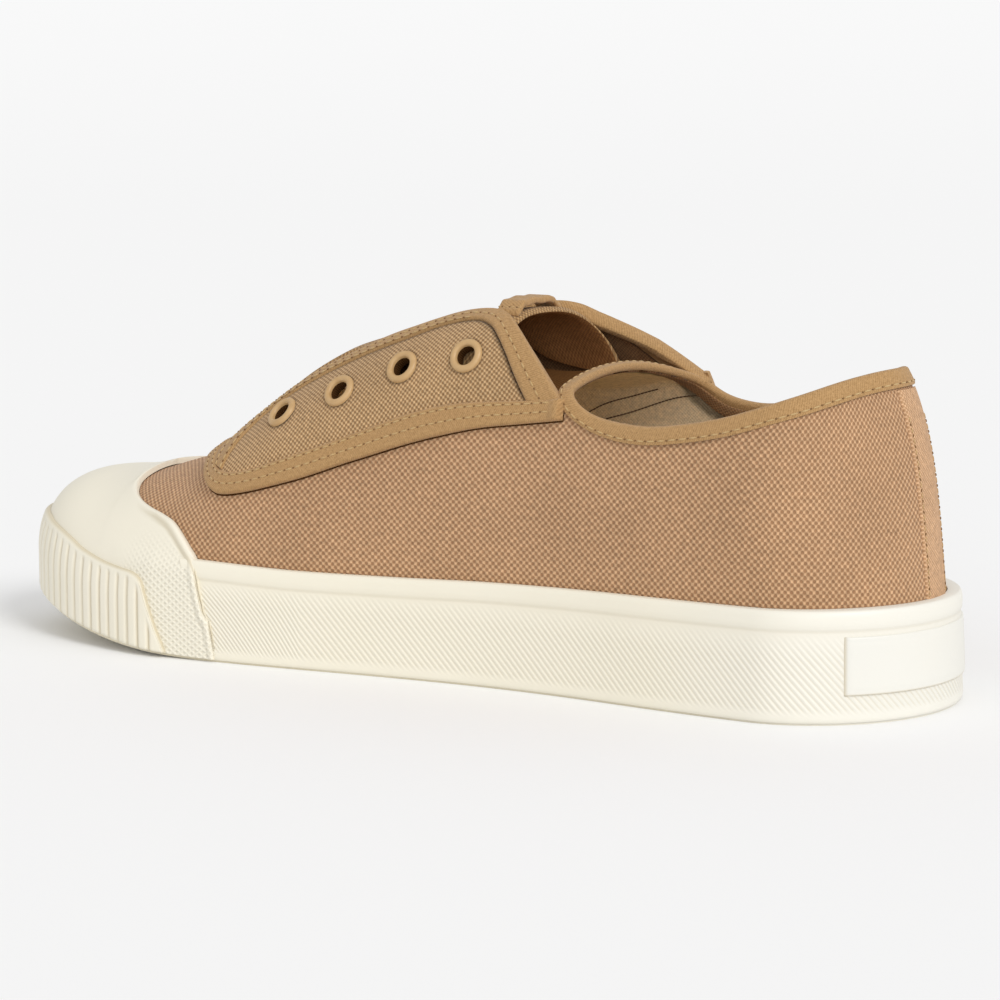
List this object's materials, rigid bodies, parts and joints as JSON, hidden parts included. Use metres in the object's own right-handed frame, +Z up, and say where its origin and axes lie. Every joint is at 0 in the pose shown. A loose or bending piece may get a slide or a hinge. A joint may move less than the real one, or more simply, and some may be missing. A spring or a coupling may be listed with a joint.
{
  "type": "slip-on sneaker",
  "caption": "Low canvas slip-on sneaker with a rubber toe cap and side band, an open collar, a decorative eyelet throat and a short tongue.",
  "frame": {"origin": "centre of the shoe's bounding box in plan, on the floor that its sole stands on", "axes": "+X along the shoe to the toe, +Y to the inner (medial) side of the foot, +Z up"},
  "size_m": [0.2698, 0.0934, 0.0969],
  "materials": {
    "canvas": "plain-weave cotton duck, matt",
    "tape": "twill cotton tape, matt",
    "rubber": "off-white vulcanised rubber, satin",
    "lining": "cotton lining, matt"
  },
  "bodies": {
    "root": {"outsole": "rubber", "foxing": "rubber", "toe_cap": "rubber", "toe_bumper": "rubber", "heel_label": "rubber", "insole": "lining", "upper": "canvas", "collar_binding": "tape", "facing_tape": "tape", "eyestay_medial": "canvas", "eyestay_binding_medial": "tape", "eyelet_medial_1": "tape", "eyelet_medial_2": "tape", "eyelet_medial_3": "tape", "eyelet_medial_4": "tape", "eyestay_lateral": "canvas", "eyestay_binding_lateral": "tape", "eyelet_lateral_1": "tape", "eyelet_lateral_2": "tape", "eyelet_lateral_3": "tape", "eyelet_lateral_4": "tape", "tongue": "canvas", "tongue_loop": "tape"}
  },
  "joints": []
}
